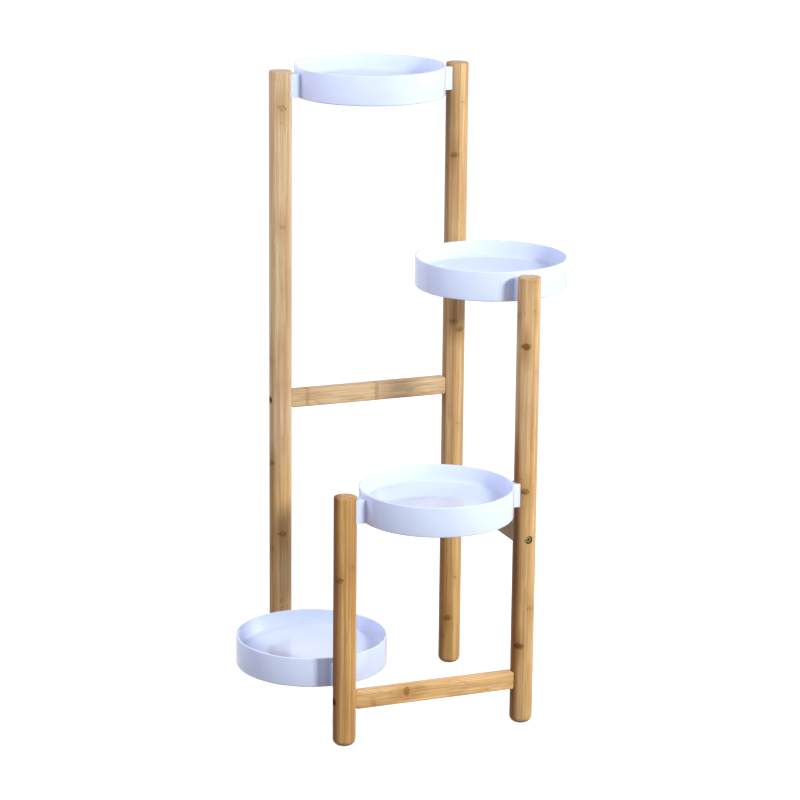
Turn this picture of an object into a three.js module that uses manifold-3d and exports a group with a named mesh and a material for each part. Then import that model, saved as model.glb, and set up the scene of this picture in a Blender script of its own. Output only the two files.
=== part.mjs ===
// Tiered plant stand: four round bamboo legs at the corners of a square, rising
// like a spiral stair, three coped rails bolted between them, and four round
// moulded trays whose hollow lugs seat in mortises in the legs.
// Millimetres, +Z up. The origin is on the floor at the centre of the square.
import * as THREE from 'three';
import { mergeVertices } from 'three/addons/utils/BufferGeometryUtils.js';
import Module from 'manifold-3d';

const wasm = await Module();
wasm.setup();

// Legs
const legSpacing = 265;         // centre to centre of neighbouring legs
const legDiameter = 32;
const tallLegHeight = 895;      // both back legs
const middleLegHeight = 640;    // front right leg
const shortLegHeight = 356;     // front left leg
const footRounding = 9.5;
const legTopEase = 1.2;

// Trays
const trayDiameter = 213;
const trayHeight = 42;
const trayDepth = 24;           // rim down to the inside floor
const trayWall = 3;
const trayFloor = 3;
const trayRimRadius = 1.3;
const trayBottomRadius = 2.4;
const trayCoveRadius = 6;       // broad round between the wall and the inside floor
const rimAboveLeg = 2.5;        // rim above the top of the leg that carries it
const lowTrayRim = 118;         // rim of the lowest tray above the floor

// Ribs under each tray floor
const ribCount = 8;
const ribThickness = 2.4;
const ribHeight = 4;
const hubRadius = 24;

// Lugs, moulded with the tray and open below
const lugWidth = 21;
const lugHeight = 33;
const lugDrop = 7;              // top of the lug below the rim
const lugWall = 2.6;
const lugEdgeRadius = 1.4;
const mortiseFloor = 6;         // flat bottom of a mortise, from the leg's axis

// Rails
const railHeight = 26;
const railThickness = 14;
const railEdgeRadius = 2;
const railEndRadius = 3.5;
const backRailCentre = 426;
const rightRailCentre = 271;
const frontRailCentre = 64;

// Bolts and threaded inserts
const boltDiameter = 6;
const boltHeadDiameter = 10;
const boltHeadHeight = 6;
const boltHeadChamfer = 0.7;
const boltTipChamfer = 0.8;
const boltHeadRecess = 2.5;     // head below the leg's surface
const socketAcrossFlats = 5;
const socketDepth = 3.2;
const counterboreDiameter = 11.5;
const boltEngagement = 11;      // bolt inside the insert
const insertDiameter = 9;
const insertLength = 13;
const insertGrooves = 2;
const insertGrooveDepth = 0.6;
const insertRecess = 0.6;       // insert below the bottom of the cope
const tipRoom = 2;              // pilot hole past the deepest metal

// Clearances
const seatGap = 0.3;            // between faces that touch
const boltClearance = 0.4;      // around the bolt's shank

const legSegments = 36;
const traySegments = 48;
const boltSegments = 16;
const insertSegments = 12;
const footArcSteps = 2;
const coveArcSteps = 3;
const edgeArcSteps = 1;
const lugCornerSteps = 2;
const railEdgeSteps = 2;
const railEndSteps = 3;
const weldDistance = 1e-4;      // between points that count as one
const reach = legSpacing;       // longer than any piece that a cutter passes through

const legRadius = legDiameter / 2;
const trayRadius = trayDiameter / 2;
const copeRadius = legRadius + seatGap;
const headTop = legRadius - boltHeadRecess;
const headSeat = headTop - boltHeadHeight;
const insertStart = copeRadius + insertRecess;
const shankLength = headSeat + insertStart + boltEngagement;
const pilotDepth = insertStart + Math.max(insertLength, boltEngagement) + tipRoom;

const bamboo = new THREE.MeshStandardMaterial({ color: 0xc89f63, roughness: 0.5, metalness: 0 });
const darkBamboo = new THREE.MeshStandardMaterial({ color: 0xb98c50, roughness: 0.5, metalness: 0 });
const whitePlastic = new THREE.MeshStandardMaterial({ color: 0xe6ebfa, roughness: 0.15, metalness: 0 });
const brass = new THREE.MeshStandardMaterial({ color: 0xb9a03f, roughness: 0.35, metalness: 1 });
const zinc = new THREE.MeshStandardMaterial({ color: 0xa9abae, roughness: 0.4, metalness: 1 });

// The corners of the square, each with the signs of its place and its leg's height.
const corners = {
  back_left: { x: -1, y: 1, height: tallLegHeight },
  back_right: { x: 1, y: 1, height: tallLegHeight },
  front_right: { x: 1, y: -1, height: middleLegHeight },
  front_left: { x: -1, y: -1, height: shortLegHeight },
};

// Each tray hangs between two neighbouring corners.
const trays = [
  { name: 'tray_top', ends: ['back_left', 'back_right'], rim: tallLegHeight + rimAboveLeg },
  { name: 'tray_upper', ends: ['back_right', 'front_right'], rim: middleLegHeight + rimAboveLeg },
  { name: 'tray_lower', ends: ['front_right', 'front_left'], rim: shortLegHeight + rimAboveLeg },
  { name: 'tray_bottom', ends: ['front_left', 'back_left'], rim: lowTrayRim },
];

// The fourth side, between the short leg and the back left leg, has no rail.
const rails = [
  { side: 'back', ends: ['back_left', 'back_right'], centre: backRailCentre },
  { side: 'right', ends: ['back_right', 'front_right'], centre: rightRailCentre },
  { side: 'front', ends: ['front_right', 'front_left'], centre: frontRailCentre },
];

function cornerPlace(name) {
  const corner = corners[name];
  return new THREE.Vector3(corner.x, corner.y, 0).multiplyScalar(legSpacing / 2);
}

// The angle, about Z, of the line from one corner to another.
function bearing(from, to) {
  const way = cornerPlace(to).sub(cornerPlace(from));
  return Math.atan2(way.y, way.x);
}

// Solids for joining and cutting
function solidOf(geometry) {
  const bare = geometry.index ? geometry.toNonIndexed() : geometry.clone();
  bare.deleteAttribute('normal');
  bare.deleteAttribute('uv');
  const welded = mergeVertices(bare, weldDistance);
  const vertProperties = new Float32Array(welded.attributes.position.array);
  const triVerts = new Uint32Array(welded.index.array);
  return new wasm.Manifold(new wasm.Mesh({ numProp: 3, vertProperties, triVerts }));
}

function geometryOf(solid) {
  const mesh = solid.getMesh();
  const geometry = new THREE.BufferGeometry();
  geometry.setAttribute('position', new THREE.BufferAttribute(mesh.vertProperties, 3));
  geometry.setIndex(new THREE.BufferAttribute(mesh.triVerts, 1));
  geometry.computeVertexNormals();
  return geometry;
}

function joined(first, others) {
  return others.reduce((sum, other) => sum.add(other), first);
}

function cutBy(solid, tools) {
  return tools.reduce((rest, tool) => rest.subtract(tool), solid);
}

// A round stretch of a profile, in straight steps.
function arcTo(profile, x, z, radius, startAngle, endAngle, steps) {
  for (let i = 0; i <= steps; i += 1) {
    const angle = startAngle + (endAngle - startAngle) * i / steps;
    profile.lineTo(x + radius * Math.cos(angle), z + radius * Math.sin(angle));
  }
}

// A profile in the XZ half plane, turned about Z.
function turned(path, segments, arcSteps = edgeArcSteps) {
  const points = path.getPoints(arcSteps);
  return new THREE.LatheGeometry(points, segments).rotateX(Math.PI / 2);
}

// A cylinder along X from one distance to another.
function cylinderAlongX(diameter, start, end, segments) {
  const geometry = new THREE.CylinderGeometry(diameter / 2, diameter / 2, end - start, segments);
  return geometry.rotateZ(Math.PI / 2).translate((start + end) / 2, 0, 0);
}

// A box that lies along X from one distance to another, centred in Y and Z.
function boxAlongX(start, end, width, height) {
  return new THREE.BoxGeometry(end - start, width, height).translate((start + end) / 2, 0, 0);
}

function roundedRectangle(width, height, radius) {
  const x = width / 2;
  const y = height / 2;
  const shape = new THREE.Shape();
  shape.moveTo(-x + radius, -y);
  shape.lineTo(x - radius, -y);
  shape.absarc(x - radius, -y + radius, radius, -Math.PI / 2, 0, false);
  shape.lineTo(x, y - radius);
  shape.absarc(x - radius, y - radius, radius, 0, Math.PI / 2, false);
  shape.lineTo(-x + radius, y);
  shape.absarc(-x + radius, y - radius, radius, Math.PI / 2, Math.PI, false);
  shape.lineTo(-x, -y + radius);
  shape.absarc(-x + radius, -y + radius, radius, Math.PI, 1.5 * Math.PI, false);
  return shape;
}

function prism(shape, length, curveSegments) {
  const settings = { depth: length, bevelEnabled: false, curveSegments };
  return new THREE.ExtrudeGeometry(shape, settings).translate(0, 0, -length / 2);
}

// A leg: a rod with a rounded foot and an eased top.
function legRod(height) {
  const profile = new THREE.Path();
  profile.moveTo(0, 0);
  profile.lineTo(legRadius - footRounding, 0);
  profile.absarc(legRadius - footRounding, footRounding, footRounding, -Math.PI / 2, 0, false);
  profile.lineTo(legRadius, height - legTopEase);
  profile.lineTo(legRadius - legTopEase, height);
  profile.lineTo(0, height);
  return solidOf(turned(profile, legSegments, footArcSteps));
}

// The mortise for one lug, on the side of the leg that faces the tray.
function mortise(angle, rim) {
  const width = lugWidth + 2 * seatGap;
  const height = lugHeight + 2 * seatGap;
  const middle = rim - lugDrop - lugHeight / 2;
  const block = boxAlongX(mortiseFloor, reach, width, height);
  return solidOf(block.rotateZ(angle).translate(0, 0, middle));
}

// The bolt's way through the leg: a clear hole, and a counterbore on the far side of the rail.
function boltHole(angle, centre) {
  const hole = boltDiameter + 2 * boltClearance;
  const clear = cylinderAlongX(hole, -headSeat, reach, boltSegments);
  const counterbore = cylinderAlongX(counterboreDiameter, -reach, seatGap - headSeat, boltSegments);
  return [clear, counterbore].map((piece) => solidOf(piece.rotateZ(angle).translate(0, 0, centre)));
}

function makeLeg(name) {
  const far = (ends) => ends.find((end) => end !== name);
  const here = (item) => item.ends.includes(name);
  const mortises = trays.filter(here).map((tray) => mortise(bearing(name, far(tray.ends)), tray.rim));
  const holes = rails.filter(here).flatMap((rail) => boltHole(bearing(name, far(rail.ends)), rail.centre));
  const solid = cutBy(legRod(corners[name].height), [...mortises, ...holes]);
  const leg = new THREE.Mesh(geometryOf(solid), bamboo);
  leg.name = `leg_${name}`;
  leg.position.copy(cornerPlace(name));
  return leg;
}

// The tray's own frame: Z is 0 at the rim, and the lugs lie along X.
function trayShell() {
  const inner = trayRadius - trayWall;
  const under = -trayDepth - trayFloor;
  const profile = new THREE.Path();
  profile.moveTo(0, under);
  profile.lineTo(inner, under);
  profile.lineTo(inner, -trayHeight);
  profile.lineTo(trayRadius - trayBottomRadius, -trayHeight);
  profile.absarc(trayRadius - trayBottomRadius, trayBottomRadius - trayHeight, trayBottomRadius,
    -Math.PI / 2, 0, false);
  profile.lineTo(trayRadius, -trayRimRadius);
  profile.absarc(trayRadius - trayRimRadius, -trayRimRadius, trayRimRadius, 0, Math.PI / 2, false);
  profile.absarc(inner + trayRimRadius, -trayRimRadius, trayRimRadius, Math.PI / 2, Math.PI, false);
  arcTo(profile, inner - trayCoveRadius, trayCoveRadius - trayDepth, trayCoveRadius,
    0, -Math.PI / 2, coveArcSteps);
  profile.lineTo(0, -trayDepth);
  return solidOf(turned(profile, traySegments));
}

// One hollow lug towards +X, from inside the wall to the bottom of the mortise.
function lug() {
  const start = trayRadius - trayWall / 2;
  const end = legSpacing / 2 - mortiseFloor - seatGap;
  const middle = -lugDrop - lugHeight / 2;
  const outline = roundedRectangle(2 * (end - start), lugWidth, lugEdgeRadius);
  const block = solidOf(prism(outline, lugHeight, lugCornerSteps).translate(start, 0, middle));
  const rootTrim = solidOf(boxAlongX(-reach, start, 2 * lugWidth, 2 * lugHeight).translate(0, 0, middle));
  const coreWidth = lugWidth - 2 * lugWall;
  const core = boxAlongX(trayRadius, end - lugWall, coreWidth, lugHeight);
  return cutBy(block, [rootTrim, solidOf(core.translate(0, 0, middle - lugWall))]);
}

// Radial ribs and their hub under the floor, from the hub to inside the wall.
function floorRibs() {
  const top = -trayDepth - trayFloor / 2;
  const height = ribHeight + trayFloor / 2;
  const hub = new THREE.CylinderGeometry(hubRadius, hubRadius, height, traySegments / 2);
  const bore = new THREE.CylinderGeometry(hubRadius - ribThickness, hubRadius - ribThickness,
    2 * height, traySegments / 2);
  const ring = solidOf(hub.rotateX(Math.PI / 2).translate(0, 0, top - height / 2));
  const hollow = solidOf(bore.rotateX(Math.PI / 2).translate(0, 0, top - height));
  const ribs = [ring.subtract(hollow)];
  for (let i = 0; i < ribCount; i += 1) {
    const rib = boxAlongX(hubRadius - ribThickness / 2, trayRadius - trayWall / 2, ribThickness, height);
    const angle = (i + 0.5) * 2 * Math.PI / ribCount;
    ribs.push(solidOf(rib.rotateZ(angle).translate(0, 0, top - height / 2)));
  }
  return ribs;
}

function trayGeometry() {
  const right = lug();
  const left = right.mirror([1, 0, 0]);
  return geometryOf(joined(trayShell(), [...floorRibs(), right, left]));
}

// A group at the middle of a side of the square, with X along the side.
function sideGroup([from, to], height) {
  const group = new THREE.Group();
  group.position.copy(cornerPlace(from).add(cornerPlace(to)).multiplyScalar(0.5));
  group.position.z = height;
  group.rotation.z = bearing(from, to);
  return group;
}

function makeTray(tray, geometry) {
  const mesh = new THREE.Mesh(geometry, whitePlastic);
  mesh.name = tray.name;
  const group = sideGroup(tray.ends, tray.rim);
  group.add(mesh);
  return group;
}

// A rail along X: eased edges, ends coped to the round legs, and a pilot hole at each end.
function railGeometry() {
  const hornLength = Math.sqrt(copeRadius ** 2 - (railThickness / 2) ** 2);
  const edges = roundedRectangle(railThickness, railHeight, railEdgeRadius);
  const section = prism(edges, legSpacing, railEdgeSteps);
  const bar = solidOf(section.rotateX(Math.PI / 2).rotateZ(Math.PI / 2));
  const face = roundedRectangle(legSpacing - 2 * hornLength, railHeight, railEndRadius);
  const outline = solidOf(prism(face, 2 * railThickness, railEndSteps).rotateX(Math.PI / 2));
  const tools = [-1, 1].flatMap((side) => {
    const cope = new THREE.CylinderGeometry(copeRadius, copeRadius, 2 * railHeight, legSegments);
    const end = legSpacing / 2;
    const holeSize = insertDiameter + 2 * seatGap;
    const hole = cylinderAlongX(holeSize, end - pilotDepth, end, insertSegments);
    return [
      solidOf(cope.rotateX(Math.PI / 2).translate(side * end, 0, 0)),
      solidOf(hole.rotateZ(side > 0 ? 0 : Math.PI)),
    ];
  });
  return geometryOf(cutBy(bar.intersect(outline), tools));
}

// A socket-head bolt along X, its head's top at 0 and its tip towards +X.
function boltGeometry() {
  const headRadius = boltHeadDiameter / 2;
  const shankRadius = boltDiameter / 2;
  const tip = boltHeadHeight + shankLength;
  const profile = new THREE.Path();
  profile.moveTo(0, -tip);
  profile.lineTo(shankRadius - boltTipChamfer, -tip);
  profile.lineTo(shankRadius, boltTipChamfer - tip);
  profile.lineTo(shankRadius, -boltHeadHeight);
  profile.lineTo(headRadius, -boltHeadHeight);
  profile.lineTo(headRadius, -boltHeadChamfer);
  profile.lineTo(headRadius - boltHeadChamfer, 0);
  profile.lineTo(0, 0);
  const socketRadius = socketAcrossFlats / Math.sqrt(3);
  const socket = new THREE.CylinderGeometry(socketRadius, socketRadius, 2 * socketDepth, 6);
  const solid = cutBy(solidOf(turned(profile, boltSegments)), [solidOf(socket.rotateX(Math.PI / 2))]);
  return geometryOf(solid).rotateY(-Math.PI / 2);
}

// A threaded insert along X from 0: a bored sleeve with grooves around it.
function insertGeometry() {
  const outer = insertDiameter / 2;
  const bore = boltDiameter / 2 + seatGap;
  const groove = outer - insertGrooveDepth;
  const step = insertLength / (2 * insertGrooves + 1);
  const profile = new THREE.Path();
  profile.moveTo(bore, 0);
  profile.lineTo(outer, 0);
  for (let i = 1; i < 2 * insertGrooves; i += 2) {
    profile.lineTo(outer, i * step);
    profile.lineTo(groove, (i + 0.5) * step);
    profile.lineTo(outer, (i + 1) * step);
  }
  profile.lineTo(outer, insertLength);
  profile.lineTo(bore, insertLength);
  profile.lineTo(bore, 0);
  return turned(profile, insertSegments).rotateY(Math.PI / 2);
}

// A rail with a bolt and an insert at each end, such as bolt_back_rail_left.
function makeRail(rail, shapes) {
  const group = sideGroup(rail.ends, rail.centre);
  const bar = new THREE.Mesh(shapes.rail, darkBamboo);
  bar.name = `rail_${rail.side}`;
  group.add(bar);
  rail.ends.forEach((corner, index) => {
    const inward = index === 0 ? 1 : -1;
    const end = corner.split('_').find((word) => word !== rail.side);
    const bolt = new THREE.Mesh(shapes.bolt, brass);
    bolt.name = `bolt_${rail.side}_rail_${end}`;
    bolt.position.x = -inward * (legSpacing / 2 + headTop);
    bolt.rotation.z = inward > 0 ? 0 : Math.PI;
    const insert = new THREE.Mesh(shapes.insert, zinc);
    insert.name = `insert_${rail.side}_rail_${end}`;
    insert.position.x = -inward * (legSpacing / 2 - insertStart);
    insert.rotation.z = bolt.rotation.z;
    group.add(bolt, insert);
  });
  return group;
}

const stand = new THREE.Group();
const trayForm = trayGeometry();
const shapes = { rail: railGeometry(), bolt: boltGeometry(), insert: insertGeometry() };

Object.keys(corners).forEach((name) => stand.add(makeLeg(name)));
trays.forEach((tray) => stand.add(makeTray(tray, trayForm)));
rails.forEach((rail) => stand.add(makeRail(rail, shapes)));

export default stand;
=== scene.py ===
import math
import bmesh
import bpy
from mathutils import Matrix, Vector


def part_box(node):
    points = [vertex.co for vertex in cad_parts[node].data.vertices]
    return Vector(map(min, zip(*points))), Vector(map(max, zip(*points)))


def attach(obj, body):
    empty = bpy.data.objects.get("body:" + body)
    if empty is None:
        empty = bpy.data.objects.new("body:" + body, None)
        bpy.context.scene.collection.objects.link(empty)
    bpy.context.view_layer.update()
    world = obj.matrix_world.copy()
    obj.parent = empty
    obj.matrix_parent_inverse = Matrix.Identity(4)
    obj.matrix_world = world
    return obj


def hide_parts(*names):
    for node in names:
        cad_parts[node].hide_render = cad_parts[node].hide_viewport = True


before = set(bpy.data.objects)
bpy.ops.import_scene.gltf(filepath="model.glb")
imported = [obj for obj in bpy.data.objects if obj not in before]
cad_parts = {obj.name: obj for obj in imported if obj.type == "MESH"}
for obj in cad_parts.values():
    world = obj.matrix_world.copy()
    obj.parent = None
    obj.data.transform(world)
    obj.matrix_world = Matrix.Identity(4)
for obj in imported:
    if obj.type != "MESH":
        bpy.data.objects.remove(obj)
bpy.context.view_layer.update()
mm = 0.001

# what every piece shares
fit = {
    "seatGap": 0.3 * mm,
    "smoothAngle": math.radians(32),
    "weld": 0.001 * mm,
    "smoothWeld": 0.002 * mm,
}


# mesh helpers

def arc(centre, radius, start, end, steps):
    # points of a round stretch in the (radius, height) plane, angles in degrees
    points = []
    for i in range(steps + 1):
        angle = math.radians(start + (end - start) * i / steps)
        points.append((centre[0] + radius * math.cos(angle), centre[1] + radius * math.sin(angle)))
    return points


def spun(outline, steps):
    # an outline of (radius, height) points, turned about Z
    bm = bmesh.new()
    verts = [bm.verts.new((r, 0, z)) for r, z in outline]
    edges = [bm.edges.new(pair) for pair in zip(verts, verts[1:])]
    bmesh.ops.spin(bm, geom=verts + edges, axis=(0, 0, 1), cent=(0, 0, 0), steps=steps,
                   angle=2 * math.pi, use_merge=True)
    bmesh.ops.remove_doubles(bm, verts=bm.verts, dist=fit["weld"])
    bmesh.ops.recalc_face_normals(bm, faces=bm.faces)
    return bm


def block(size, bevel=0, segments=3, along=None):
    # a box, centred, with the edges along one axis or all edges rounded
    bm = bmesh.new()
    bmesh.ops.create_cube(bm, size=1)
    bmesh.ops.scale(bm, vec=size, verts=bm.verts)
    if bevel:
        roundEdges(bm, bevel, segments, along)
    return bm


def bevelled(bm, edges, width, segments):
    bmesh.ops.bevel(bm, geom=edges, offset=width, offset_type="OFFSET", segments=segments,
                    profile=0.5, affect="EDGES", clamp_overlap=True, material=-1)


def roundEdges(bm, width, segments, along=None):
    parallel = 0.99     # least cosine to the axis
    edges = []
    for edge in bm.edges:
        way = (edge.verts[1].co - edge.verts[0].co).normalized()
        if along is None or abs(way.dot(Vector(along))) > parallel:
            edges.append(edge)
    bevelled(bm, edges, width, segments)


def rod(radius, length, segments, axis="Z"):
    # a closed cylinder, centred, along Z or X
    bm = bmesh.new()
    bmesh.ops.create_cone(bm, cap_ends=True, segments=segments, radius1=radius, radius2=radius,
                          depth=length)
    if axis == "X":
        bmesh.ops.rotate(bm, matrix=Matrix.Rotation(math.pi / 2, 3, "Y"), verts=bm.verts)
    return bm


def placed(bm, move=(0, 0, 0), turn=0):
    # turned about Z, then moved
    bmesh.ops.rotate(bm, matrix=Matrix.Rotation(turn, 3, "Z"), verts=bm.verts)
    bmesh.ops.translate(bm, vec=move, verts=bm.verts)
    return bm


def asObject(bm, name):
    mesh = bpy.data.meshes.new(name)
    bm.to_mesh(mesh)
    bm.free()
    piece = bpy.data.objects.new(name, mesh)
    bpy.context.scene.collection.objects.link(piece)
    return piece


def combined(piece, others, operation):
    # cuts or joins the other shapes, which are bmeshes, and keeps the result as the piece's mesh
    helpers = [asObject(bm, piece.name + "Helper") for bm in others]
    for helper in helpers:
        step = piece.modifiers.new("combine", "BOOLEAN")
        step.operation = operation
        step.solver = "EXACT"
        step.object = helper
    depsgraph = bpy.context.evaluated_depsgraph_get()
    result = bpy.data.meshes.new_from_object(piece.evaluated_get(depsgraph))
    piece.modifiers.clear()
    piece.data = result
    for helper in helpers:
        bpy.data.objects.remove(helper)
    return piece


def smoothed(piece):
    # smooth shading, with the real corners kept sharp
    bm = bmesh.new()
    bm.from_mesh(piece.data)
    bmesh.ops.remove_doubles(bm, verts=bm.verts, dist=fit["smoothWeld"])
    for face in bm.faces:
        face.smooth = True
    for edge in bm.edges:
        if len(edge.link_faces) == 2:
            edge.smooth = edge.calc_face_angle() < fit["smoothAngle"]
    bm.to_mesh(piece.data)
    bm.free()
    return piece


def finished(piece, node, material):
    smoothed(piece)
    piece.data.materials.clear()
    piece.data.materials.append(material)
    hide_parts(node)
    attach(piece, "root")
    return piece


# material helpers

class Graph:
    # a short way to add nodes and link them, in one material or world
    def __init__(self, owner):
        owner.use_nodes = True
        self.owner = owner
        self.tree = owner.node_tree
        self.shader = self.tree.nodes.get("Principled BSDF")

    def add(self, kind, inputs=None, **settings):
        node = self.tree.nodes.new("ShaderNode" + kind)
        for key, value in settings.items():
            setattr(node, key, value)
        for key, value in (inputs or {}).items():
            self.feed(node.inputs[key], value)
        return node

    def feed(self, socket, value):
        if isinstance(value, bpy.types.NodeSocket):
            self.tree.links.new(value, socket)
        else:
            socket.default_value = value

    def math(self, operation, *values, clamp=False):
        node = self.add("Math", operation=operation, use_clamp=clamp)
        for socket, value in zip(node.inputs, values):
            self.feed(socket, value)
        return node.outputs[0]

    def offCentre(self, value, centre=0.5):
        # how far a value lies from a centre
        return self.math("ABSOLUTE", self.math("SUBTRACT", value, centre))

    def range(self, value, low, high, toLow=0.0, toHigh=1.0):
        node = self.add("MapRange", interpolation_type="SMOOTHSTEP")
        names = ("Value", "From Min", "From Max", "To Min", "To Max")
        for key, amount in zip(names, (value, low, high, toLow, toHigh)):
            self.feed(node.inputs[key], amount)
        return node.outputs["Result"]

    def noise(self, vector, scale, detail=3.0, roughness=0.5, stretch=1, move=(0, 0, 0), output="Fac"):
        # a stretch under 1 draws the pattern out along Z
        spot = self.mapped(vector, move=move, scale=(1, 1, stretch))
        inputs = {"Vector": spot, "Scale": scale, "Detail": detail, "Roughness": roughness}
        return self.add("TexNoise", inputs).outputs[output]

    def tinted(self, factor, first, colour, blend="MIX"):
        return self.mix(factor, first, (*colour, 1), blend)

    def mix(self, factor, first, second, blend="MIX"):
        # the colour sockets of this node share their names with its float and vector sockets
        node = self.add("Mix", data_type="RGBA", blend_type=blend)
        sockets = {socket.identifier: socket for socket in node.inputs}
        self.feed(sockets["Factor_Float"], factor)
        self.feed(sockets["A_Color"], first)
        self.feed(sockets["B_Color"], second)
        return next(socket for socket in node.outputs if socket.identifier == "Result_Color")

    def ramp(self, value, stops):
        node = self.add("ValToRGB")
        elements = node.color_ramp.elements
        while len(elements) < len(stops):
            elements.new(0.5)
        for element, (place, colour) in zip(elements, stops):
            element.position = place
            element.color = (*colour, 1)
        self.feed(node.inputs["Fac"], value)
        return node.outputs["Color"]

    def mapped(self, vector, move=(0, 0, 0), turn=(0, 0, 0), scale=(1, 1, 1)):
        inputs = {"Vector": vector, "Location": move, "Rotation": turn, "Scale": scale}
        return self.add("Mapping", inputs).outputs["Vector"]

    def bump(self, height, strength, distance):
        node = self.add("Bump", {"Height": height, "Strength": strength, "Distance": distance})
        self.feed(self.shader.inputs["Normal"], node.outputs["Normal"])

    def set(self, **inputs):
        for key, value in inputs.items():
            self.feed(self.shader.inputs[key], value)


bambooLook = {
    "stripWidth": 20 * mm,
    "stripThickness": 7.2 * mm,
    "rowShift": 0.37,
    "glueLine": 0.03,           # share of a strip that the line darkens
    "glueTone": 0.2,
    "wander": 1.2 * mm,         # how far the fibres stray sideways
    "nodeWave": 8 * mm,         # how far a node line strays along them
    "nodeSpacing": 235 * mm,
    "nodeHalfHeight": 3.2 * mm,
    "nodeShift": 7.0,           # spacings by which a strip's nodes may be moved
    "nodeDraw": 0.35,           # strips that draw less show no nodes
    "nodeStrength": 0.6,
    "nodeHalo": 22 * mm,
    "haloStrength": 0.3,
    "bandHalfWidth": 4 * mm,
    "bandWave": 0.35,
    "broadTone": 0.9,           # how much each noise moves the tone
    "mediumTone": 2.8,
    "streakSpan": (0.48, 0.70),
    "streakTone": 0.6,
    "rosySpan": (0.42, 0.58),
    "rosyTone": 0.6,            # share of rosy and cream streaks in the palest wood
    "specular": 0.2,
    "roughness": (0.32, 0.46),
    "bump": 0.12 * mm,
}
knotLook = {
    "size": 12 * mm,            # half the width, round the piece
    "fade": (0.25, 1.15),       # where a patch starts and ends to fade, in sizes
    "squat": 1.6,               # width over height
    "trailSquat": (1.5, 0.5),   # of the halo, across and along the fibres
    "trailTone": 0.8,
    "mottle": 0.62,             # weight of the patch beside the mottling noise
    "mottleSpan": (0.74, 1.12),
    "depth": 0.88,
}
# raw cut wood with painted shade in the bores and mortises, and painted contact shade on the soles
rawCutShadeLook = {
    "skin": (0.8 * mm, 2.2 * mm),       # depths between which the wood turns dark, as raw cut wood with painted shade
    "topSkin": (1.6 * mm, 2.4 * mm),
    "soleShade": (1.2 * mm, 6.5 * mm),       # heights between which the foot turns pale again, as its painted contact shade fades out
    "depth": 0.8,
    "soleShadeDepth": 0.95,
}
# painted shade on the legs' left sides and low down
paintedShadeLook = {
    "side": math.radians(158),          # bearing of the painted shade round every leg
    "reach": (0.1, 0.9),                # where the painted shade starts and ends, in radii from the axis
    "sideFade": 40 * mm,
    "sideRest": 0.25,                   # share that is left above the fade
    "fade": 50 * mm,
}
bambooNoise = {
    "sway": {"scale": 60.0, "detail": 2.0, "stretch": 0.25},
    "fine": {"scale": 1300.0, "roughness": 0.6, "stretch": 0.008},
    "medium": {"scale": 260.0, "roughness": 0.6, "stretch": 0.014},
    "broad": {"scale": 50.0, "detail": 2.0, "stretch": 0.18},
    "hue": {"scale": 240.0, "detail": 2.0, "stretch": 0.012},
    "mottle": {"scale": 520.0, "roughness": 0.65, "stretch": 0.6},
    "wave": {"scale": 160.0, "detail": 2.0},
}
woodColours = {
    "knot": (0.145, 0.055, 0.010),
    "railKnot": (0.30, 0.125, 0.022),
    "streak": (0.36, 0.175, 0.050),
    "rosy": (0.60, 0.385, 0.235),
    "cream": (0.75, 0.62, 0.37),
    # raw cut wood deepened with painted shade, also the painted contact shade on the soles
    "rawCutShade": (0.07, 0.035, 0.012),
    # painted shade on the legs' left sides
    "leftShade": (0.42, 0.25, 0.05),
    # painted shade tint, warmer and darker, below a height
    "lowShadeTint": (1.0, 0.92, 0.68),
}
paleStrips = [(0.46, 0.310, 0.175), (0.58, 0.410, 0.250), (0.69, 0.520, 0.335), (0.80, 0.640, 0.440)]
honeyStrips = [(0.44, 0.195, 0.032), (0.55, 0.270, 0.054), (0.64, 0.340, 0.082), (0.74, 0.430, 0.130)]
stripStops = (0.0, 0.33, 0.66, 1.0)


def strips(warmth, bright):
    # the tones of one piece's strips, between the pale and the honey ones
    stops = []
    for place, pale, honey in zip(stripStops, paleStrips, honeyStrips):
        stops.append((place, tuple((p + (h - p) * warmth) * bright for p, h in zip(pale, honey))))
    return stops


def stripPattern(g, grain, turn, seed):
    # the height along the fibres, each strip's own chances, and the glue lines between strips
    look = bambooLook
    parts = g.add("SeparateXYZ", {"Vector": g.mapped(grain, turn=(0, 0, turn))}).outputs
    across = g.math("DIVIDE", parts["Y"], look["stripThickness"])
    row = g.math("FLOOR", across)
    along = g.math("DIVIDE", parts["X"], look["stripWidth"])
    along = g.math("ADD", along, g.math("MULTIPLY", row, look["rowShift"]))
    cell = g.add("CombineXYZ", {"X": g.math("FLOOR", along), "Y": row, "Z": float(seed)})
    chance = g.add("TexWhiteNoise", {"Vector": cell.outputs["Vector"]}, noise_dimensions="3D")
    draws = g.add("SeparateColor", {"Color": chance.outputs["Color"]}).outputs
    seams = g.range(g.offCentre(g.math("FRACT", across)), 0.5 - look["glueLine"], 0.5)
    butts = g.range(g.offCentre(g.math("FRACT", along)), 0.5 - look["glueLine"] / 3, 0.5)
    return parts["Z"], chance.outputs["Value"], draws, g.math("MAXIMUM", seams, butts)


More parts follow.
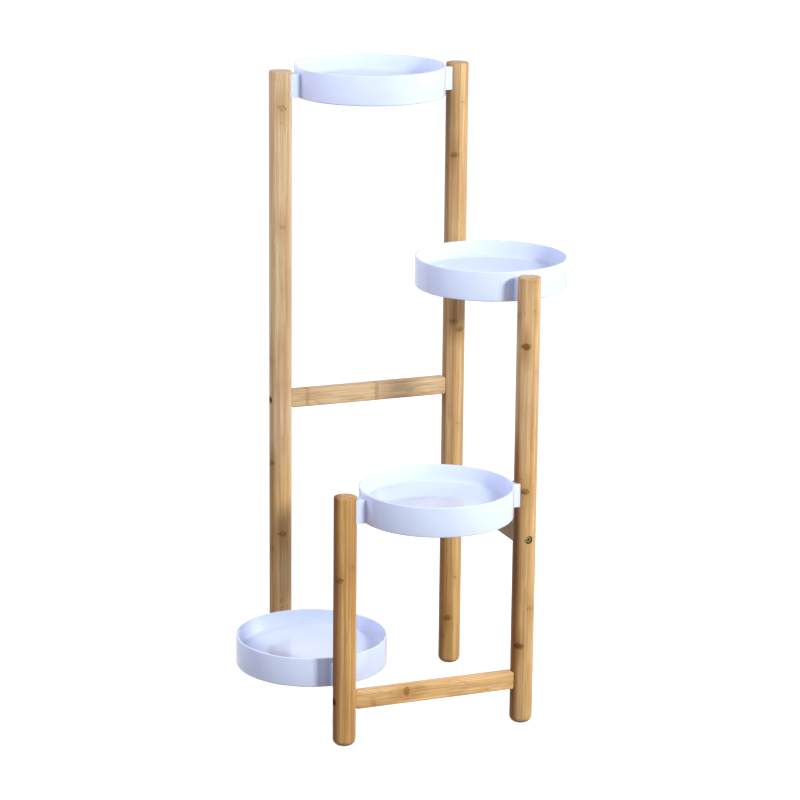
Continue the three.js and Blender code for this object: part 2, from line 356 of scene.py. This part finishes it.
def stripColour(g, place, grain, chance, settings, fine, medium):
    # every strip's tone, the rosy and cream streaks of pale wood, and fine dark ones
    look = bambooLook
    seed = settings["seed"]
    broad = g.noise(place, move=(seed, 0, 0), **bambooNoise["broad"])
    tone = 0.0
    shares = ((chance, settings["contrast"]), (broad, look["broadTone"]), (medium, look["mediumTone"]))
    for value, share in shares:
        tone = g.math("ADD", tone, g.math("MULTIPLY", g.math("SUBTRACT", value, 0.5), share))
    tone = g.math("ADD", tone, 0.5, clamp=True)
    colour = g.ramp(tone, strips(settings["warmth"], settings["bright"]))
    hue = g.noise(grain, move=(0, seed, 0), **bambooNoise["hue"])
    rosy = g.tinted(g.range(hue, *look["rosySpan"]), (*woodColours["rosy"], 1), woodColours["cream"])
    colour = g.mix(look["rosyTone"] * (1 - settings["warmth"]), colour, rosy)
    streak = g.math("MULTIPLY", g.range(fine, *look["streakSpan"]), look["streakTone"])
    return g.tinted(streak, colour, woodColours["streak"])


def knotMasks(g, place, knots):
    # a patch round every chosen knot, and a longer halo along the fibres
    look = knotLook
    wide, slow = look["trailSquat"]
    start, end = [share * look["size"] for share in look["fade"]]
    core = 0.0
    halo = 0.0
    for (x, y, z), strength in knots:
        squat = g.mapped(place, scale=(1, 1, look["squat"]))
        near = g.add("VectorMath", {0: squat, 1: (x, y, look["squat"] * z)}, operation="DISTANCE")
        patch = g.range(near.outputs["Value"], start, end, strength, 0.0)
        slim = g.mapped(place, scale=(wide, wide, slow))
        far = g.add("VectorMath", {0: slim, 1: (wide * x, wide * y, slow * z)}, operation="DISTANCE")
        trail = g.range(far.outputs["Value"], 0.0, bambooLook["nodeHalo"], strength, 0.0)
        core = g.math("MAXIMUM", core, patch)
        halo = g.math("MAXIMUM", halo, trail)
    return core, halo


def knotPattern(g, place, grain, height, draws, settings, medium):
    # the strips' own node lines, the chosen knots and the bands across a rail
    look = bambooLook
    mottle = g.noise(grain, **bambooNoise["mottle"])
    wave = g.math("SUBTRACT", g.noise(place, **bambooNoise["wave"]), 0.5)
    wave = g.math("MULTIPLY", wave, look["nodeWave"])
    turns = g.math("DIVIDE", g.math("ADD", height, wave), look["nodeSpacing"])
    turns = g.math("ADD", turns, g.math("MULTIPLY", draws["Green"], look["nodeShift"]))
    away = g.math("MULTIPLY", g.offCentre(g.math("FRACT", turns)), look["nodeSpacing"])
    weight = g.range(draws["Blue"], look["nodeDraw"], 1.0, 0.0, look["nodeStrength"])
    line = g.math("MULTIPLY", g.range(away, 0.0, look["nodeHalfHeight"], 1.0, 0.0), weight)
    chosen, trail = knotMasks(g, grain, settings["knots"])
    knot = g.math("MULTIPLY", g.math("MAXIMUM", line, chosen), knotLook["mottle"])
    knot = g.range(g.math("ADD", mottle, knot), *knotLook["mottleSpan"])
    halo = g.range(away, 0.0, look["nodeHalo"], look["haloStrength"], 0.0)
    halo = g.math("MULTIPLY", halo, weight)
    halo = g.math("MAXIMUM", halo, g.math("MULTIPLY", trail, knotLook["trailTone"]))
    halo = g.math("MULTIPLY", halo, g.range(medium, 0.3, 0.65, 0.4, 1.0))
    bent = g.math("ADD", height, g.math("MULTIPLY", wave, look["bandWave"]))
    for spot, strength in settings.get("bands", []):
        off = g.offCentre(bent, spot)
        ring = g.range(off, 0.5 * look["bandHalfWidth"], look["bandHalfWidth"], strength, 0.0)
        halo = g.math("MAXIMUM", halo, ring)
    return knot, halo


def rawCutShadeMask(g, place, settings):
    # darker raw wood in a leg's bores and mortises, with painted shade there, and painted shade on its
    # soles
    look = rawCutShadeLook
    radius, top, foot = settings["radius"], settings["top"], legShape["footRadius"]
    parts = g.add("SeparateXYZ", {"Vector": place}).outputs
    flat = g.add("CombineXYZ", {"X": parts["X"], "Y": parts["Y"]}).outputs["Vector"]
    reach = g.add("VectorMath", {0: flat}, operation="LENGTH").outputs["Value"]
    # raw cut wood and painted shade inside the leg
    inside = g.range(reach, radius - look["skin"][1], radius - look["skin"][0], look["depth"], 0.0)
    below = g.range(parts["Z"], top - look["topSkin"][1], top - look["topSkin"][0], 1.0, 0.0)
    above = g.range(parts["Z"], foot, 1.3 * foot)
    # painted contact shade on the sole
    soleShade = g.range(parts["Z"], *look["soleShade"], look["soleShadeDepth"], 0.0)
    return g.math("MAXIMUM", g.math("MULTIPLY", inside, g.math("MULTIPLY", below, above)), soleShade)


def lowShadeTintColour(g, height, colour, settings):
    # painted shade: the wood turns warmer and darker below a height
    below, strength = settings["lowShadeTint"]
    shadeBelow = g.range(height, below - paintedShadeLook["fade"], below + paintedShadeLook["fade"], strength, 0.0)
    return g.tinted(shadeBelow, colour, woodColours["lowShadeTint"], "MULTIPLY")


def leftShadeColour(g, place, colour, settings):
    # painted shade: a darker, warmer tone on a leg's left, the side turned from the light, up to a
    # height
    look = paintedShadeLook
    top, strength = settings["leftShade"]
    radius = settings["radius"]
    parts = g.add("SeparateXYZ", {"Vector": place}).outputs
    left = g.math("MULTIPLY", parts["X"], math.cos(look["side"]))
    left = g.math("ADD", left, g.math("MULTIPLY", parts["Y"], math.sin(look["side"])))
    side = g.range(left, look["reach"][0] * radius, look["reach"][1] * radius, 0.0, strength)
    fade = g.range(parts["Z"], top - look["sideFade"], top + look["sideFade"], 1.0, look["sideRest"])
    return g.tinted(g.math("MULTIPLY", side, fade), colour, woodColours["leftShade"], "MULTIPLY")


def bambooMaterial(name, centre, fibreTurn, stripTurn, settings):
    # laminated bamboo: strips side by side, each with its own tone, fibres and knots
    look = bambooLook
    seed = settings["seed"]
    g = Graph(bpy.data.materials.new(name))
    place = g.mapped(g.add("TexCoord").outputs["Object"], move=[-c for c in centre])
    place = g.mapped(place, turn=(*fibreTurn, 0))
    sway = g.noise(place, move=(0, 0, seed), output="Color", **bambooNoise["sway"])
    sway = g.add("VectorMath", {0: sway, 1: (0.5, 0.5, 0.5)}, operation="SUBTRACT").outputs[0]
    sway = g.add("VectorMath", {0: sway, "Scale": 2 * look["wander"]}, operation="SCALE").outputs[0]
    grain = g.add("VectorMath", {0: place, 1: sway}, operation="ADD").outputs[0]
    height, chance, draws, glue = stripPattern(g, grain, stripTurn, seed)
    fine = g.noise(grain, **bambooNoise["fine"])
    medium = g.noise(grain, **bambooNoise["medium"])

    colour = stripColour(g, place, grain, chance, settings, fine, medium)
    colour = g.tinted(g.math("MULTIPLY", glue, look["glueTone"]), colour, woodColours["knot"])
    knot, halo = knotPattern(g, place, grain, height, draws, settings, medium)
    colour = g.tinted(halo, colour, woodColours["streak"])
    isLeg = "radius" in settings
    knotTone = woodColours["knot" if isLeg else "railKnot"]
    colour = g.tinted(g.math("MULTIPLY", knot, knotLook["depth"]), colour, knotTone)
    # painted shade: warmer and darker below a height
    if "lowShadeTint" in settings:
        colour = lowShadeTintColour(g, height, colour, settings)
    if isLeg:
        # painted shade on the leg's left side
        colour = leftShadeColour(g, place, colour, settings)
        # raw cut wood with painted shade in the bores and mortises, and painted contact shade on the
        # soles
        colour = g.tinted(rawCutShadeMask(g, place, settings), colour, woodColours["rawCutShade"])

    g.set(**{"Base Color": colour, "Specular IOR Level": look["specular"]})
    g.set(Roughness=g.range(medium, 0.3, 0.7, *look["roughness"]))
    relief = g.math("ADD", g.math("MULTIPLY", fine, 0.6), g.math("MULTIPLY", knot, -0.6))
    relief = g.math("SUBTRACT", relief, g.math("MULTIPLY", glue, 0.4))
    g.bump(relief, 0.25, look["bump"])
    return g.owner


plasticLook = {
    "colour": (0.71, 0.79, 0.99),
    "shade": (0.68, 0.755, 0.98),
    "roughness": (0.03, 0.07),
    "specular": 0.5,
    "subsurface": 0.35,
    "subsurfaceScale": 4 * mm,
    "subsurfaceRadius": (1.0, 1.0, 1.1),
    "peel": 0.02 * mm,
}


def plasticMaterial(name, centre):
    # glossy moulded plastic, with a faint cloud in its tone and a slight orange peel
    look = plasticLook
    g = Graph(bpy.data.materials.new(name))
    place = g.mapped(g.add("TexCoord").outputs["Object"], move=[-c for c in centre])
    cloud = g.noise(place, 14.0, 3.0)
    grain = g.noise(place, 700.0, 2.0)
    tone = g.math("ADD", g.math("MULTIPLY", cloud, 0.8), g.math("MULTIPLY", grain, 0.2))
    colour = g.tinted(g.range(tone, 0.35, 0.65), (*look["shade"], 1), look["colour"])
    g.set(**{"Base Color": colour, "Roughness": g.range(cloud, 0.35, 0.65, *look["roughness"])})
    g.set(**{"Specular IOR Level": look["specular"], "Subsurface Weight": look["subsurface"]})
    g.set(**{"Subsurface Scale": look["subsurfaceScale"], "Subsurface Radius": look["subsurfaceRadius"]})
    peel = g.noise(place, 260.0, 2.0)
    g.bump(g.math("ADD", peel, g.math("MULTIPLY", grain, 0.15)), 0.3, look["peel"])
    return g.owner


metalLook = {
    "brass": {"bright": (0.38, 0.36, 0.15), "dull": (0.13, 0.12, 0.05), "roughness": (0.16, 0.35)},
    "zinc": {"bright": (0.74, 0.75, 0.76), "dull": (0.45, 0.46, 0.48), "roughness": (0.28, 0.5)},
}


def metalMaterial(name, centre, finish):
    # plated metal: a worn plating with fine turning marks
    look = metalLook[finish]
    g = Graph(bpy.data.materials.new(name))
    place = g.mapped(g.add("TexCoord").outputs["Object"], move=[-c for c in centre])
    spots = g.noise(place, 900.0, 4.0, 0.6)
    marks = g.noise(place, 1400.0, 2.0, stretch=8)
    colour = g.tinted(g.range(spots, 0.42, 0.66), (*look["bright"], 1), look["dull"])
    wear = g.math("MULTIPLY", g.math("ADD", spots, marks), 0.5)
    g.set(**{"Base Color": colour, "Metallic": 1.0})
    g.set(Roughness=g.range(wear, 0.35, 0.65, *look["roughness"]))
    g.bump(marks, 0.15, 0.03 * mm)
    return g.owner


# legs

legShape = {
    "footRadius": 9.5 * mm,
    "footSteps": 10,
    "topEase": 1.2 * mm,
    "topSteps": 5,
    "segments": 144,
}
# every knot: its bearing round the leg in degrees, its height, and its strength
# the painted shade on the left side and the painted shade low down: up to which height, and how strong
legs = {
    "leg_back_left": {
        "seed": 3, "stripTurn": 0.5, "warmth": 0.28, "bright": 0.96, "contrast": 1.0,
        "leftShade": (0.35, 0.6), "lowShadeTint": (0.33, 1.0),
        "knots": [(-99, 0.845, 0.6), (-98, 0.678, 0.6), (-102, 0.504, 0.35), (-159, 0.483, 0.5),
                  (-126, 0.449, 0.35), (-63, 0.449, 0.35), (-99, 0.371, 0.35), (-162, 0.335, 0.8),
                  (-101, 0.230, 0.75), (-163, 0.207, 0.6), (-100, 0.129, 0.55)],
    },
    "leg_back_right": {
        "seed": 11, "stripTurn": 1.2, "warmth": 0.65, "bright": 0.95, "contrast": 0.9,
        "leftShade": (0.25, 0.75), "lowShadeTint": (0.2, 0.8),
        "knots": [(-122, 0.765, 0.75), (-111, 0.522, 0.7), (-76, 0.510, 0.7), (-125, 0.072, 0.8),
                  (-158, 0.044, 0.6)],
    },
    "leg_front_right": {
        "seed": 19, "stripTurn": 0.2, "warmth": 0.55, "bright": 0.98, "contrast": 0.7,
        "leftShade": (0.42, 1.0), "lowShadeTint": (0.42, 0.5),
        "knots": [(-125, 0.546, 1.0), (-84, 0.635, 0.5), (-176, 0.587, 0.6), (-77, 0.594, 0.45),
                  (-158, 0.457, 0.35), (-119, 0.341, 0.9), (-70, 0.171, 0.6), (-132, 0.116, 1.0)],
    },
    "leg_front_left": {
        "seed": 27, "stripTurn": 0.85, "warmth": 0.85, "bright": 0.94, "contrast": 0.8,
        "leftShade": (0.5, 1.0),
        "knots": [(-140, 0.241, 0.8), (-69, 0.259, 0.5)],
    },
}
trays = {
    "tray_top": ("leg_back_left", "leg_back_right"),
    "tray_upper": ("leg_back_right", "leg_front_right"),
    "tray_lower": ("leg_front_right", "leg_front_left"),
    "tray_bottom": ("leg_front_left", "leg_back_left"),
}
rails = {
    "rail_back": ("leg_back_left", "leg_back_right"),
    "rail_right": ("leg_back_right", "leg_front_right"),
    "rail_front": ("leg_front_right", "leg_front_left"),
}
lugShape = {
    "width": 21 * mm,
    "height": 33 * mm,
    "drop": 7 * mm,
    "edge": 1.4 * mm,
    "edgeSteps": 4,
    "wall": 2.6 * mm,
    "coreEdge": 0.8 * mm,
    "coreSteps": 3,
    "mortiseFloor": 6 * mm,     # from the leg's axis
}
boltShape = {
    "shank": 3 * mm,
    "tipChamfer": 0.8 * mm,
    "clearHole": 3.4 * mm,
    "head": 5 * mm,
    "headHeight": 6 * mm,
    "headEase": 0.9 * mm,
    "headSteps": 5,
    "underEase": 0.3 * mm,
    "underSteps": 3,
    "recess": 2.5 * mm,
    "counterbore": 5.75 * mm,
    "socketFlats": 5 * mm,
    "socketDepth": 3.2 * mm,
    "segments": 64,
}


def middle(node):
    low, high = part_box(node)
    return (low + high) / 2


def legAxis(node):
    place = middle(node)
    return Vector((place.x, place.y, 0))


def legRadius(node):
    low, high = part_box(node)
    return (high.x - low.x) / 2


def towards(node, pairs):
    # the way from this leg to the leg at the other end, for every pair that it is in
    for name, pair in pairs.items():
        if node in pair:
            other = pair[1] if pair[0] == node else pair[0]
            yield name, (legAxis(other) - legAxis(node)).normalized()


def legCutters(node):
    # mortises for the lugs, and clear holes with counterbores for the bolts
    cutters = []
    radius = legRadius(node)
    reach = 3 * radius
    gap = fit["seatGap"]
    for tray, way in towards(node, trays):
        size = (reach, lugShape["width"] + 2 * gap, lugShape["height"] + 2 * gap)
        centre = legAxis(node) + way * (lugShape["mortiseFloor"] + reach / 2)
        centre.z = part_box(tray)[1].z - lugShape["drop"] - lugShape["height"] / 2
        cutters.append(placed(block(size), centre, math.atan2(way.y, way.x)))
    for rail, way in towards(node, rails):
        turn = math.atan2(way.y, way.x)
        height = Vector((0, 0, middle(rail).z))
        seat = radius - boltShape["recess"] - boltShape["headHeight"] - gap
        clear = rod(boltShape["clearHole"], 2 * reach, boltShape["segments"], "X")
        cutters.append(placed(clear, legAxis(node) + height, turn))
        wide = rod(boltShape["counterbore"], reach, boltShape["segments"], "X")
        cutters.append(placed(wide, legAxis(node) + height - way * (seat + reach / 2), turn))
    return cutters


def makeLeg(node, settings):
    low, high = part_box(node)
    radius = legRadius(node)
    foot = legShape["footRadius"]
    ease = legShape["topEase"]
    outline = [(0, 0)]
    outline += arc((radius - foot, foot), foot, -90, 0, legShape["footSteps"])
    outline += arc((radius - ease, high.z - ease), ease, 0, 90, legShape["topSteps"])
    outline += [(0, high.z)]
    leg = asObject(placed(spun(outline, legShape["segments"]), legAxis(node)), node + "Bamboo")
    combined(leg, legCutters(node), "DIFFERENCE")
    knots = []
    for bearing, height, strength in settings["knots"]:
        turn = math.radians(bearing)
        knots.append(((radius * math.cos(turn), radius * math.sin(turn), height), strength))
    material = bambooMaterial(node + "Grain", legAxis(node), (0, 0), settings["stripTurn"],
                              {**settings, "knots": knots, "radius": radius, "top": high.z})
    return finished(leg, node, material)


for legName, legSettings in legs.items():
    makeLeg(legName, legSettings)
print("legs made")


# trays

trayShape = {
    "height": 42 * mm,
    "depth": 24 * mm,
    "wall": 3 * mm,
    "floor": 3 * mm,
    "rim": 1.3 * mm,
    "rimSteps": 5,
    "bottomRadius": 2.4 * mm,
    "bottomSteps": 6,
    "cove": 6 * mm,
    "coveSteps": 12,
    "underFillet": 1 * mm,
    "underSteps": 4,
    "skirtEase": 0.4 * mm,
    "skirtSteps": 3,
    "segments": 180,
    "ribs": 8,
    "ribThickness": 2.4 * mm,
    "ribHeight": 4 * mm,
    "hub": 24 * mm,
    "hubSegments": 72,
}


def trayRadius(node):
    low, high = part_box(node)
    return min(high.x - low.x, high.y - low.y) / 2


def trayOutline(radius):
    # from the floor's underside over the skirt and the rim to the floor's top
    shape = trayShape
    inner = radius - shape["wall"]
    bottom = -shape["height"]
    under = -shape["depth"] - shape["floor"]
    root = shape["underFillet"]
    ease = shape["skirtEase"]
    foot = shape["bottomRadius"]
    rim = shape["rim"]
    cove = shape["cove"]
    outline = [(0, under)]
    outline += arc((inner - root, under - root), root, 90, 0, shape["underSteps"])
    outline += arc((inner + ease, bottom + ease), ease, 180, 270, shape["skirtSteps"])
    outline += arc((radius - foot, bottom + foot), foot, -90, 0, shape["bottomSteps"])
    outline += arc((radius - rim, -rim), rim, 0, 90, shape["rimSteps"])
    outline += arc((inner + rim, -rim), rim, 90, 180, shape["rimSteps"])
    outline += arc((inner - cove, cove - shape["depth"]), cove, 0, -90, shape["coveSteps"])
    outline += [(0, -shape["depth"])]
    return outline


def lugParts(radius, legDistance):
    # a hollow lug on each side: the outer blocks, and the cores that are cut from them
    lug = lugShape
    start = radius - trayShape["wall"] / 2
    end = legDistance - lug["mortiseFloor"] - fit["seatGap"]
    centreZ = -lug["drop"] - lug["height"] / 2
    outers = []
    cores = []
    for side in (1, -1):
        outer = block((end - start, lug["width"], lug["height"]))
        edges = [e for e in outer.edges if all(v.co.x > 0 for v in e.verts) or
                 all(v.co.z > 0 for v in e.verts)]
        bevelled(outer, edges, lug["edge"], lug["edgeSteps"])
        outers.append(placed(outer, (side * (start + end) / 2, 0, centreZ), 0 if side > 0 else math.pi))
        coreSize = (end - lug["wall"] - radius, lug["width"] - 2 * lug["wall"], lug["height"])
        core = block(coreSize, lug["coreEdge"], lug["coreSteps"], (0, 0, 1))
        coreX = side * (radius + end - lug["wall"]) / 2
        cores.append(placed(core, (coreX, 0, centreZ - lug["wall"])))
    return outers, cores


def ribParts(radius):
    # the hub's ring and the ribs under the floor
    shape = trayShape
    top = -shape["depth"] - shape["floor"] / 2
    height = shape["ribHeight"] + shape["floor"] / 2
    inner = shape["hub"] - shape["ribThickness"]
    ring = [(inner, top - height), (shape["hub"], top - height), (shape["hub"], top), (inner, top)]
    parts = [spun(ring + ring[:1], shape["hubSegments"])]
    start = shape["hub"] - shape["ribThickness"] / 2
    end = radius - shape["wall"] / 2
    for i in range(shape["ribs"]):
        rib = block((end - start, shape["ribThickness"], height))
        bmesh.ops.translate(rib, vec=((start + end) / 2, 0, top - height / 2), verts=rib.verts)
        parts.append(placed(rib, turn=(i + 0.5) * 2 * math.pi / shape["ribs"]))
    return parts


def makeTrayMesh():
    radius = trayRadius("tray_top")
    distance = (legAxis("leg_back_right") - legAxis("leg_back_left")).length / 2
    tray = asObject(spun(trayOutline(radius), trayShape["segments"]), "trayForm")
    outers, cores = lugParts(radius, distance)
    combined(tray, ribParts(radius) + outers, "UNION")
    return combined(tray, cores, "DIFFERENCE")


def makeTray(node, form):
    low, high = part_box(node)
    size = high - low
    place = middle(node)
    place.z = high.z
    bm = bmesh.new()
    bm.from_mesh(form.data)
    placed(bm, place, math.pi / 2 if size.y > size.x else 0)
    tray = asObject(bm, node + "Moulded")
    return finished(tray, node, plasticMaterial(node + "Plastic", place))


trayForm = makeTrayMesh()
for trayName in trays:
    makeTray(trayName, trayForm)
bpy.data.objects.remove(trayForm)
print("trays made")


# rails

railShape = {
    "edge": 2 * mm,
    "edgeSteps": 6,
    "endEdge": 3.5 * mm,
    "endSteps": 8,
    "insertHole": 4.8 * mm,
    "holeSegments": 48,
    "insertDepth": 32 * mm,     # from the leg's axis
}
# every knot: up from the rail's middle, out of its middle plane and along its fibres, and its strength
# bands: where along the fibres, and how strong
railGrain = {
    "rail_back": {"seed": 41, "warmth": 0.3, "bright": 1.1, "contrast": 0.3,
                  "knots": [((0.003, -0.007, 0.092), 0.45)],
                  "bands": [(0.094, 0.45), (-0.011, 0.4)]},
    "rail_right": {"seed": 47, "warmth": 0.85, "bright": 0.8, "contrast": 0.5, "knots": []},
    "rail_front": {"seed": 53, "warmth": 0.7, "bright": 1.24, "contrast": 0.4,
                   "knots": [((0.004, -0.007, 0.043), 0.95), ((-0.006, -0.007, 0.0925), 0.65)]},
}


def makeRail(node, pair, settings):
    # a bar with eased edges, coped to its legs and bored for the inserts
    shape = railShape
    low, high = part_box(node)
    size = high - low
    liesAlongX = size.x > size.y
    length = max(size.x, size.y)
    thickness = min(size.x, size.y)
    place = middle(node)
    turn = 0 if liesAlongX else math.pi / 2
    bar = block((2 * length, thickness, size.z), shape["edge"], shape["edgeSteps"], (1, 0, 0))
    face = block((length, 2 * thickness, size.z), shape["endEdge"], shape["endSteps"], (0, 1, 0))
    rail = asObject(placed(bar, place, turn), node + "Bamboo")
    combined(rail, [placed(face, place, turn)], "INTERSECT")
    cutters = []
    for leg in pair:
        cope = rod(legRadius(leg) + fit["seatGap"], 2 * size.z, legShape["segments"])
        centre = legAxis(leg)
        centre.z = place.z
        cutters.append(placed(cope, centre))
        hole = rod(shape["insertHole"], 2 * shape["insertDepth"], shape["holeSegments"], "X")
        cutters.append(placed(hole, centre, turn))
    combined(rail, cutters, "DIFFERENCE")
    fibreTurn = (0, math.pi / 2) if liesAlongX else (math.pi / 2, 0)
    material = bambooMaterial(node + "Grain", place, fibreTurn, turn, settings)
    return finished(rail, node, material)


for railName, railLegs in rails.items():
    makeRail(railName, railLegs, railGrain[railName])
print("rails made")


# bolts, and the inserts' finish

def makeBolt(node, leg, way):
    # along Z, head's top at 0, then turned to point from the leg into the rail
    shape = boltShape
    low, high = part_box(node)
    length = max(high - low)
    shank, head, neck = shape["shank"], shape["head"], -shape["headHeight"]
    tip, ease, under = shape["tipChamfer"], shape["headEase"], shape["underEase"]
    outline = [(0, -length), (shank - tip, -length), (shank, tip - length), (shank, neck)]
    outline += arc((head - under, under + neck), under, -90, 0, shape["underSteps"])
    outline += arc((head - ease, -ease), ease, 0, 90, shape["headSteps"])
    outline += [(0, 0)]
    bolt = asObject(spun(outline, shape["segments"]), node + "Screw")
    socketRadius = shape["socketFlats"] / math.sqrt(3)
    combined(bolt, [rod(socketRadius, 2 * shape["socketDepth"], 6)], "DIFFERENCE")
    bm = bmesh.new()
    bm.from_mesh(bolt.data)
    bmesh.ops.rotate(bm, matrix=Matrix.Rotation(-math.pi / 2, 3, "Y"), verts=bm.verts)
    headTop = legRadius(leg) - shape["recess"]
    centre = legAxis(leg) - way * headTop
    centre.z = middle(node).z
    placed(bm, centre, math.atan2(way.y, way.x))
    bm.to_mesh(bolt.data)
    bm.free()
    return finished(bolt, node, metalMaterial(node + "Plating", centre, "brass"))


for railName, railLegs in rails.items():
    side = railName.replace("rail_", "")
    for leg in railLegs:
        other = railLegs[1] if leg == railLegs[0] else railLegs[0]
        end = [word for word in leg.split("_")[1:] if word != side][0]
        makeBolt(f"bolt_{side}_rail_{end}", leg, (legAxis(other) - legAxis(leg)).normalized())
        insert = f"insert_{side}_rail_{end}"
        zinc = metalMaterial(insert + "Plating", middle(insert), "zinc")
        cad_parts[insert].material_slots[0].material = zinc
print("bolts and inserts made")


# studio

cameraPlace = {
    "stands": (-1.5131, -3.8175, 1.5361),
    "heading": -21.592,         # degrees from +Y, anticlockwise seen from above
    "tilt": -14.870,
    "roll": 0.573,
    "lens": 137.0,
    "sensor": 36,
}
lights = {
    "key": {"from": -70, "elevation": 25, "distance": 3.2, "size": 0.5, "power": 88,
            "colour": (0.97, 1.0, 0.98), "shiny": False},
    "side": {"from": -20, "elevation": 14, "distance": 2.4, "size": 0.8, "power": 14,
             "colour": (1.0, 1.0, 0.97), "shiny": True},
    "fill": {"from": 170, "elevation": 36, "distance": 1.5, "size": 1.0, "power": 11,
             "colour": (0.88, 0.88, 1.0), "shiny": False},
}
lightsAim = (0, 0, 0.45)
ambient = {"colour": (0.88, 0.85, 1.0), "strength": 0.52}
ceiling = {"colour": (0.30, 0.32, 0.42), "fade": (0.25, 0.75)}      # from and to which height of a ray
floorTone = {"seen": 0.55, "bounce": 0.2, "glow": 0.84, "roughness": 0.9, "reach": 12}


def makeCamera():
    camera = bpy.data.objects.new("photoCamera", bpy.data.cameras.new("photoCamera"))
    bpy.context.scene.collection.objects.link(camera)
    camera.location = cameraPlace["stands"]
    heading = Matrix.Rotation(math.radians(cameraPlace["heading"]), 3, "Z")
    tilt = Matrix.Rotation(math.radians(90 + cameraPlace["tilt"]), 3, "X")
    roll = Matrix.Rotation(math.radians(cameraPlace["roll"]), 3, "Z")
    camera.rotation_euler = (heading @ tilt @ roll).to_euler()
    camera.data.lens = cameraPlace["lens"]
    camera.data.sensor_width = cameraPlace["sensor"]
    bpy.context.scene.camera = camera


def makeLight(name, settings):
    lamp = bpy.data.lights.new(name, "AREA")
    lamp.shape = "SQUARE"
    lamp.size = settings["size"]
    lamp.energy = settings["power"]
    lamp.color = settings["colour"]
    light = bpy.data.objects.new(name, lamp)
    light.visible_camera = False
    light.visible_glossy = settings["shiny"]
    bpy.context.scene.collection.objects.link(light)
    angle = math.radians(settings["from"])
    rise = math.radians(settings["elevation"])
    way = Vector((math.cos(angle) * math.cos(rise), math.sin(angle) * math.cos(rise), math.sin(rise)))
    light.location = Vector(lightsAim) + way * settings["distance"]
    light.rotation_euler = (-way).to_track_quat("-Z", "Y").to_euler()


def makeWorld():
    # diffuse light gets the soft ambient, the camera sees white,
    # and reflections see white up to a dim ceiling
    world = bpy.data.worlds.new("studio")
    bpy.context.scene.world = world
    g = Graph(world)
    path = g.add("LightPath").outputs
    white = g.add("Background", {"Color": (1, 1, 1, 1)})
    height = g.add("SeparateXYZ", {"Vector": g.add("TexCoord").outputs["Generated"]}).outputs["Z"]
    soft = g.add("Background", {"Color": (*ambient["colour"], 1), "Strength": ambient["strength"]})
    overhead = g.tinted(g.range(height, *ceiling["fade"]), (1, 1, 1, 1), ceiling["colour"])
    mirrored = g.add("Background", {"Color": overhead})
    shiny = g.math("MAXIMUM", path["Is Glossy Ray"], path["Is Transmission Ray"])
    indirect = g.add("MixShader", {0: shiny, 1: soft.outputs[0], 2: mirrored.outputs[0]})
    seen = g.add("MixShader", {0: path["Is Camera Ray"], 1: indirect.outputs[0], 2: white.outputs[0]})
    g.feed(g.tree.nodes["World Output"].inputs["Surface"], seen.outputs[0])


def makeFloor():
    # white to the camera, with only the object's soft shadow on it
    bm = bmesh.new()
    bmesh.ops.create_grid(bm, x_segments=1, y_segments=1, size=floorTone["reach"])
    floor = asObject(bm, "studioFloor")
    g = Graph(bpy.data.materials.new("floorWhite"))
    g.set(**{"Roughness": floorTone["roughness"], "Specular IOR Level": 0.0})
    path = g.add("LightPath").outputs
    seen, bounce = [(floorTone[key],) * 3 + (1,) for key in ("seen", "bounce")]
    g.set(**{"Base Color": g.mix(path["Is Camera Ray"], bounce, seen)})
    shows = g.math("MAXIMUM", path["Is Camera Ray"], path["Is Glossy Ray"])
    shows = g.math("MAXIMUM", shows, path["Is Transmission Ray"])
    glow = g.add("Emission", {"Strength": g.math("MULTIPLY", shows, floorTone["glow"])})
    both = g.add("AddShader", {0: g.shader.outputs["BSDF"], 1: glow.outputs[0]})
    g.feed(g.tree.nodes["Material Output"].inputs["Surface"], both.outputs[0])
    floor.data.materials.append(g.owner)


makeCamera()
for lightName, lightSettings in lights.items():
    makeLight(lightName, lightSettings)
makeWorld()
makeFloor()
bpy.context.scene.view_settings.view_transform = "Standard"
print("studio made")
